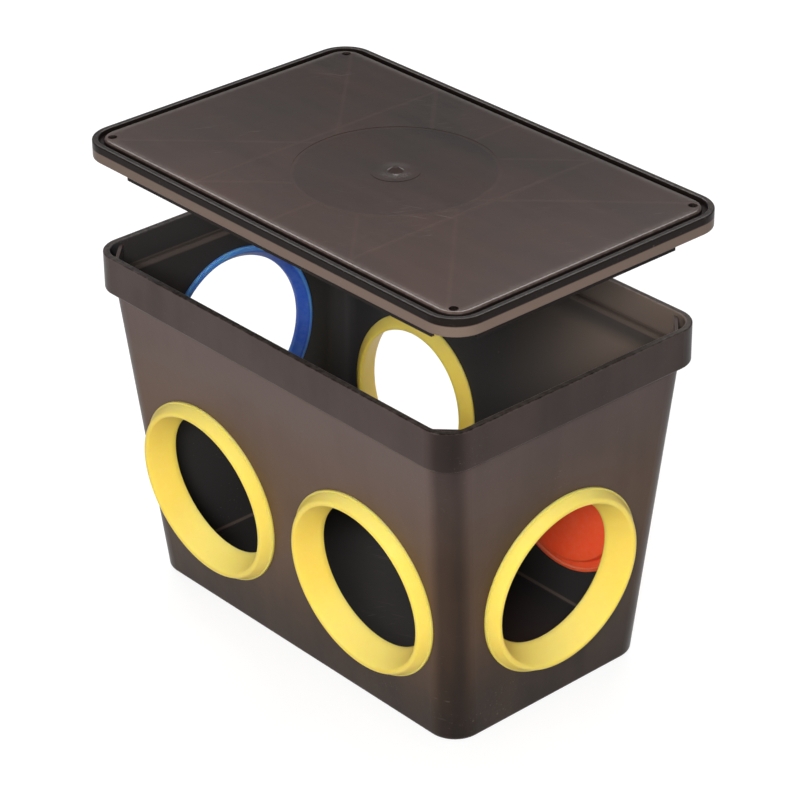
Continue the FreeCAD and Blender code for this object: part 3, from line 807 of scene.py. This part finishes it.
@dataclass(frozen=True, kw_only=True)
class SealRubber(Moulding):
    """Soft coloured vinyl with a matt grain, a cloudy tint, rubbed lips and painted light making its upward
    faces paler.
    """

    colour: SealColour
    grain_scale: float = 1700.0
    flow_stretch: Triple = (30.0, 30.0, 30.0)
    edge_wear: float = 0.25
    cloud_share: float = 0.30
    flow_share: float = 0.25
    pale_share: float = 0.4
    rub_share: float = 0.25
    upward_span: Span = (0.25, 0.95)
    upward_share: float = 0.45
    hairline_share: float = 0.20
    roughness: float = 0.40
    cloud_rough: float = 0.12
    hairline_depth: float = 0.3
    bump_strength: float = 0.20
    bump_distance: float = 0.0004
    specular: float = 0.30
    soft_share: float = 0.65
    soft_radius: Triple = (0.010, 0.0075, 0.0022)
    funnel_span: Span = (0.0632, 0.0618)

    def shader(self, sheet: Sheet, place: Socket) -> bpy.types.Node:
        """Tint the vinyl, then cloud and wear it.

        Args:
            sheet: The tree of the material.
            place: The point on the seal.

        Returns:
            The shader's node.
        """
        _, lit, shaded, top_lit = self.colour.value
        skin = self.skin(sheet, place, self.edge_wear)
        shade = sheet.scaled(skin.cloud, self.cloud_share, sheet.times(skin.flow, self.flow_share))
        # Painted shade inside the inlet's lip.
        if self.colour is SealColour.BLUE:
            shade = sheet.most(shade, self.funnel(sheet, place))
        pale = tuple((1.0 - self.pale_share) * part + self.pale_share for part in lit[:3]) + (1.0,)
        # Painted light: faces turned up are paler, as if lit from above.
        upward = sheet.fade(sheet.axes(sheet.facing()).z, self.upward_span)
        colour = sheet.mix(shade, lit, shaded)
        for value, share, other in (
            (skin.rub_and_sheen, self.rub_share, pale),
            (upward, self.upward_share, top_lit),
            (skin.hairlines, self.hairline_share, shaded),
        ):
            colour = sheet.mix(sheet.times(value, share), colour, other)
        bump = sheet.add("Bump", {
            "Strength": self.bump_strength,
            "Distance": self.bump_distance,
            "Height": sheet.scaled(skin.hairlines, -self.hairline_depth, skin.height),
        })
        return sheet.add("BsdfPrincipled", {
            "Base Color": colour,
            "Roughness": sheet.scaled(skin.cloud, self.cloud_rough, self.roughness),
            "Specular IOR Level": self.specular,
            "Subsurface Weight": self.soft_share,
            "Subsurface Radius": self.soft_radius,
            "Subsurface Scale": 1.0,
            "Normal": bump.outputs[0],
        })

    def funnel(self, sheet: Sheet, place: Socket) -> Socket:
        """Find the inside of the inlet's lip, which gets painted shade.

        Args:
            sheet: The tree that the value is built in.
            place: The point on the seal.

        Returns:
            A value that is 1 within the lip.
        """
        level = sheet.vector("SUBTRACT", place, (0.0, 0.0, INLET_HEIGHT))
        across = sheet.vector("MULTIPLY", level, (0.0, 1.0, 1.0))
        return sheet.fade(sheet.measure("LENGTH", across), self.funnel_span)


class Draft(NamedTuple):
    """How a wall leans, and half the box's size between it and its opposite at the outlets."""

    axis: str
    sign: float
    degrees: float
    half_size: float


class Wall(Enum):
    """The four drafted walls."""

    FRONT = Draft("X", 1.0, 5.2, 0.0978)
    REAR = Draft("X", -1.0, 5.2, 0.0978)
    RIGHT = Draft("Y", 1.0, 4.3, 0.1648)
    LEFT = Draft("Y", -1.0, 4.3, 0.1648)

    def seat(self, along: float, height: float) -> Matrix:
        """Give the place of a seal on the wall.

        Args:
            along: Distance along the wall from its middle.
            height: Height of the seal's centre above the underside.

        Returns:
            A matrix whose Z axis stands square to the wall's outer face.
        """
        axis, sign, degrees, half_size = self.value
        out = half_size + math.tan(math.radians(degrees)) * (height - OUTLET_HEIGHT)
        spot = (along, -sign * out, height) if axis == "X" else (sign * out, along, height)
        turn = Matrix.Rotation(sign * math.radians(90.0 + degrees), 4, axis)
        return Matrix.Translation(spot) @ turn


class Corner(NamedTuple):
    """A corner of a turned section: its radius, its reach out of the wall and its rounding."""

    radius: float
    reach: float
    rounding: float = 0.0


@dataclass
class TurnedSeal:
    """A soft moulding turned about the axis of one pipe hole and gripping its edge."""

    node: str
    wall: Wall
    along: float
    height: float
    colour: SealColour
    flange: float = 0.068
    flange_thickness: float = 0.0018
    flange_round: float = 0.0010
    foot_round: float = 0.0008
    neck: float = 0.0613
    grip: float = 0.005
    bead: float = 0.063
    bead_round: float = 0.0009
    segments: int = 168
    round_segments: int = 5
    weld: float = 1e-6
    sharp_degrees: float = 32.0

    def section(self) -> list[Corner]:
        """Give the corners of the section."""
        raise NotImplementedError

    def grip_corners(self) -> list[Corner]:
        """Give the flange's edge and the neck in the wall.

        Returns:
            The corners that the sleeves and the plug share.
        """
        return [
            Corner(self.flange, self.flange_thickness, self.flange_round),
            Corner(self.flange, 0.0),
            Corner(self.neck, 0.0),
            Corner(self.neck, -self.grip),
        ]

    def build(self, material: bpy.types.Material) -> bpy.types.Object:
        """Turn the section, seat it on its wall and dress it.

        Args:
            material: The finish of the whole piece.

        Returns:
            The finished piece.
        """
        bm = self.outline()
        bmesh.ops.spin(
            bm, geom=bm.verts[:] + bm.edges[:], cent=(0.0, 0.0, 0.0), axis=(0.0, 0.0, 1.0),
            angle=math.tau, steps=self.segments, use_merge=True,
        )
        bmesh.ops.remove_doubles(bm, verts=bm.verts[:], dist=self.weld)
        bmesh.ops.recalc_face_normals(bm, faces=bm.faces[:])
        bmesh.ops.transform(bm, matrix=self.wall.seat(self.along, self.height), verts=bm.verts[:])
        for face in bm.faces:
            face.smooth = True
        piece = place_mesh(bm, f"{self.node}_turned", material)
        piece.data.set_sharp_from_angle(angle=math.radians(self.sharp_degrees))
        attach(piece, "box")
        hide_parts(self.node)
        return piece

    def outline(self) -> bmesh.types.BMesh:
        """Draw the section's outline and round its corners.

        Returns:
            The outline, closed unless it starts on the axis.
        """
        bm = bmesh.new()
        corners = self.section()
        points = [bm.verts.new((corner.radius, 0.0, corner.reach)) for corner in corners]
        closed = corners[0].radius > 0.0
        for first, second in zip(points, points[1:] + points[:1] if closed else points[1:]):
            bm.edges.new((first, second))
        for rounding in sorted({corner.rounding for corner in corners if corner.rounding > 0.0}):
            chosen = [point for point, corner in zip(points, corners) if corner.rounding == rounding]
            bmesh.ops.bevel(
                bm, geom=chosen, offset=rounding, offset_type="OFFSET", segments=self.round_segments,
                profile=0.5, affect="VERTICES", material=-1, clamp_overlap=True,
            )
        return bm


@dataclass
class PipeSeal(TurnedSeal):
    """An open sleeve with a flange and a thin lip outside the wall."""

    mouth: float = 0.060
    bore: float = 0.053
    land: float = 0.003
    lip: float = 0.063
    lip_reach: float = 0.009
    lip_round: float = 0.0014
    foot: float = 0.067

    def section(self) -> list[Corner]:
        """Give the sleeve's closed section from the mouth round to the bore.

        Returns:
            The section's corners.
        """
        return [
            Corner(self.mouth, self.lip_reach, self.lip_round),
            Corner(self.lip, self.lip_reach, self.lip_round),
            Corner(self.foot, self.flange_thickness, self.foot_round),
            *self.grip_corners(),
            *self.inner_end(),
        ]

    def inner_end(self) -> list[Corner]:
        """Give the corners of the section that lie inside the box."""
        raise NotImplementedError


@dataclass
class OutletSeal(PipeSeal):
    """A sleeve whose bore narrows to a thin tip inside the box."""

    bead_length: float = 0.0018
    bead_root_round: float = 0.0004
    tip_depth: float = 0.012
    tip_wall: float = 0.002
    tip_round: float = 0.0007
    land_round: float = 0.0014

    def inner_end(self) -> list[Corner]:
        """Give the bead and the tip.

        Returns:
            The corners inside the box.
        """
        return [
            Corner(self.bead, -self.grip, self.bead_root_round),
            Corner(self.bead, -self.grip - self.bead_length, self.bead_round),
            Corner(self.bore + self.tip_wall, -self.tip_depth, self.tip_round),
            Corner(self.bore, -self.tip_depth, self.tip_round),
            Corner(self.bore, self.land - self.tip_depth, self.land_round),
        ]


@dataclass
class InletSeal(PipeSeal):
    """A sleeve that opens inside the box into a wide ring and a funnel."""

    bore: float = 0.057
    bore_round: float = 0.0010
    lip_reach: float = 0.0032
    ring: float = 0.0655
    ring_length: float = 0.003
    ring_round: float = 0.0012
    ring_root_round: float = 0.0006
    hole: float = 0.0615

    def inner_end(self) -> list[Corner]:
        """Give the ring and the funnel down to the bore.

        Returns:
            The corners inside the box.
        """
        brink = -self.grip - self.ring_length
        return [
            Corner(self.ring, -self.grip, self.ring_root_round),
            Corner(self.ring, brink, self.ring_round),
            Corner(self.hole, brink, self.ring_round),
            Corner(self.bore, -self.land / 2.0, self.bore_round),
            Corner(self.bore, self.land / 2.0, self.bore_round),
        ]


@dataclass
class OutletPlug(TurnedSeal):
    """A closed plug: the sleeve's flange and grip, a ring inside and a raised disc across."""

    pan: float = 0.051
    pan_depth: float = 0.0085
    pan_round: float = 0.0012
    face_depth: float = 0.0115
    bead_root_round: float = 0.0005
    ring: float = 0.0605
    ring_depth: float = 0.0076
    ring_round: float = 0.0008
    groove_depth: float = 0.0060
    groove_round: float = 0.0006
    disc: float = 0.054
    disc_round: float = 0.0011
    disc_foot: float = 0.0555

    def section(self) -> list[Corner]:
        """Give the plug's section from the middle of its outer face to that of its inner face.

        Returns:
            The section's corners.
        """
        return [
            Corner(0.0, -self.pan_depth),
            Corner(self.pan, -self.pan_depth, self.pan_round),
            Corner(self.pan, self.flange_thickness, self.foot_round),
            *self.grip_corners(),
            Corner(self.bead, -self.grip, self.bead_root_round),
            Corner(self.bead, -self.ring_depth, self.bead_round),
            Corner(self.ring, -self.ring_depth, self.ring_round),
            Corner(self.ring, -self.groove_depth, self.groove_round),
            Corner(self.disc_foot, -self.groove_depth, self.foot_round),
            Corner(self.disc, -self.face_depth, self.disc_round),
            Corner(0.0, -self.face_depth),
        ]


@dataclass
class BoxBody:
    """The moulded box with the seals and the plug in its six pipe holes."""

    outlet_height: float = OUTLET_HEIGHT
    inlet_height: float = INLET_HEIGHT
    outlet_offset: float = 0.080
    plug_height: float = 0.0945

    def build(self, effects: SharedEffects) -> list[bpy.types.Object]:
        """Dress the shell and make every seal.

        Args:
            effects: The shared node groups.

        Returns:
            The shell and the new pieces.
        """
        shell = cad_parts["box_shell"]
        dress(shell, ShellPlastic(name="smoked_shell", effects=effects).make())
        rubbers = {
            colour: SealRubber(name=colour.value.slot, effects=effects, colour=colour).make()
            for colour in SealColour
        }
        return [shell] + [seal.build(rubbers[seal.colour]) for seal in self.seals()]

    def seals(self) -> list[TurnedSeal]:
        """List the five sleeves and the plug with their walls and places.

        Returns:
            The seals, not yet built.
        """
        low, high, side = self.outlet_height, self.inlet_height, self.outlet_offset
        return [
            OutletSeal("pipe_seal_front_left", Wall.FRONT, -side, low, SealColour.YELLOW),
            OutletSeal("pipe_seal_front_right", Wall.FRONT, side, low, SealColour.YELLOW),
            OutletSeal("pipe_seal_right_end", Wall.RIGHT, 0.0, low, SealColour.YELLOW),
            OutletSeal("pipe_seal_rear_left", Wall.REAR, -side, low, SealColour.YELLOW),
            InletSeal("inlet_seal_left_end", Wall.LEFT, 0.0, high, SealColour.BLUE),
            OutletPlug("outlet_plug_rear_right", Wall.REAR, side, self.plug_height, SealColour.RED),
        ]


@dataclass
class LiftedLid:
    """The lid, held level above the box."""

    def build(self, effects: SharedEffects) -> list[bpy.types.Object]:
        """Dress the lid.

        Args:
            effects: The shared node groups.

        Returns:
            The lid.
        """
        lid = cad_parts["lid"]
        dress(lid, LidPlastic(name="smoked_lid", effects=effects).make())
        return [lid]


def dress(piece: bpy.types.Object, material: bpy.types.Material) -> None:
    """Put one material in every slot of a piece."""
    for slot in piece.material_slots:
        slot.material = material


def place_mesh(bm: bmesh.types.BMesh, name: str, material: bpy.types.Material) -> bpy.types.Object:
    """Make an object of a finished mesh.

    Args:
        bm: The mesh, which is freed.
        name: The name of the object and of its mesh.
        material: The finish of the whole object.

    Returns:
        The object, linked at the origin.
    """
    mesh = bpy.data.meshes.new(name)
    bm.to_mesh(mesh)
    bm.free()
    mesh.materials.append(material)
    piece = bpy.data.objects.new(name, mesh)
    bpy.context.collection.objects.link(piece)
    return piece


@dataclass(frozen=True)
class SoftLamp:
    """A square soft lamp; mirrored says whether glossy surfaces show it."""

    name: str
    place: Triple
    size: float
    watts: float
    mirrored: bool = True

    def hang(self, aim: Vector) -> None:
        """Hang the lamp.

        Args:
            aim: The point that it faces.
        """
        light = bpy.data.lights.new(self.name, "AREA")
        light.size = self.size
        light.energy = self.watts
        holder = bpy.data.objects.new(self.name, light)
        holder.location = self.place
        holder.visible_glossy = self.mirrored
        holder.rotation_euler = (aim - Vector(self.place)).to_track_quat("-Z", "Y").to_euler()
        bpy.context.collection.objects.link(holder)


@dataclass
class Studio:
    """A pale floor, soft lamps and the camera of the picture."""

    image_size: float = 800.0
    focal_pixels: float = 3110.5
    sensor_width: float = 36.0
    azimuth: float = 0.847
    elevation: float = 0.513
    roll: float = -0.012
    distance: float = 2.124
    target_height: float = 0.1646
    target_shift: float = 0.0053
    floor_reach: float = 8.0
    floor_colour: Colour = (0.34, 0.34, 0.34, 1.0)
    floor_glow: float = 0.74
    horizon: float = 1.0
    horizon_span: Span = (0.06, 0.24)
    sky: float = 0.14
    overhead: float = 0.25
    overhead_span: Span = (0.46, 0.80)
    aim_height: float = 0.15
    lamps: tuple[SoftLamp, ...] = (
        SoftLamp("front_lamp", (1.50, -1.70, 1.43), 0.55, 55.0, mirrored=False),
        SoftLamp("low_lamp", (1.84, -1.33, 0.51), 0.60, 7.0, mirrored=False),
        SoftLamp("left_softbox", (-1.59, 0.51, 1.93), 0.90, 12.5),
        SoftLamp("rear_softbox", (-0.69, 1.43, 1.99), 0.90, 12.5),
        SoftLamp("overhead_softbox", (-1.04, 0.87, 2.20), 0.90, 12.5),
    )

    def build(self) -> None:
        """Set up the floor, the surroundings, the lamps and the camera."""
        bpy.context.scene.view_settings.view_transform = "Standard"
        self.lay_floor()
        self.light_surroundings()
        for lamp in self.lamps:
            lamp.hang(Vector((0.0, 0.0, self.aim_height)))
        self.set_camera()

    def lay_floor(self) -> None:
        """Lay a wide pale floor that keeps the object's shadow."""
        material = bpy.data.materials.new("pale_floor")
        sheet = Sheet.blank(material)
        matt = sheet.add("BsdfDiffuse", {"Color": self.floor_colour})
        glow = sheet.add("Emission", {"Color": WHITE, "Strength": self.floor_glow})
        both = sheet.add("AddShader", {0: matt.outputs[0], 1: glow.outputs[0]})
        shown = sheet.add("MixShader", {0: self.seen(sheet), 1: matt.outputs[0], 2: both.outputs[0]})
        sheet.add("OutputMaterial", {0: shown.outputs[0]})
        bm = bmesh.new()
        bmesh.ops.create_grid(bm, x_segments=4, y_segments=4, size=self.floor_reach)
        floor = place_mesh(bm, "studio_floor", material)

    def light_surroundings(self) -> None:
        """Light everything softly: white at the horizon, grey above it and paler again overhead."""
        world = bpy.data.worlds.new("soft_surroundings")
        bpy.context.scene.world = world
        sheet = Sheet.blank(world)
        rise = sheet.axes(sheet.add("TexCoord").outputs["Generated"]).z
        level = sheet.add("MapRange", {
            "Value": rise,
            "From Min": self.horizon_span[0],
            "From Max": self.horizon_span[1],
            "To Min": self.horizon,
            "To Max": self.sky,
        }, interpolation_type="SMOOTHSTEP").outputs[0]
        strength = sheet.plus(level, sheet.times(sheet.fade(rise, self.overhead_span), self.overhead))
        soft = sheet.add("Background", {"Color": WHITE, "Strength": strength})
        sheet.add("OutputWorld", {0: soft.outputs[0]})

    @staticmethod
    def seen(sheet: Sheet) -> Socket:
        """Give 1 for rays that show the surroundings: camera, glossy and transmission rays."""
        path = sheet.add("LightPath").outputs
        return sheet.most(path["Is Camera Ray"], path["Is Glossy Ray"], path["Is Transmission Ray"])

    def set_camera(self) -> None:
        """Put the camera at the picture's viewing angle."""
        flat = math.cos(self.elevation)
        east, north = math.sin(self.azimuth), -math.cos(self.azimuth)
        back = Vector((east * flat, north * flat, math.sin(self.elevation)))
        right = (-back).cross(Vector((0.0, 0.0, 1.0))).normalized()
        up = right.cross(-back)
        across = math.cos(self.roll) * right + math.sin(self.roll) * up
        upward = -math.sin(self.roll) * right + math.cos(self.roll) * up
        place = Vector((0.0, 0.0, self.target_height)) + self.target_shift * right + self.distance * back
        data = bpy.data.cameras.new("picture_camera")
        data.sensor_width = self.sensor_width
        data.lens = self.focal_pixels / self.image_size * self.sensor_width
        camera = bpy.data.objects.new("picture_camera", data)
        turn = Matrix((across, upward, back)).transposed().to_4x4()
        camera.matrix_world = Matrix.Translation(place) @ turn
        bpy.context.collection.objects.link(camera)
        bpy.context.scene.camera = camera


def main() -> None:
    """Build the box, the lid and the studio and report each piece."""
    logging.basicConfig(level=logging.INFO, format="%(message)s")
    effects = SharedEffects()
    for assembly in (BoxBody(), LiftedLid()):
        for piece in assembly.build(effects):
            LOG.info("%s: %d faces", piece.name, len(piece.data.polygons))
    Studio().build()


if __name__ == "__main__":
    main()
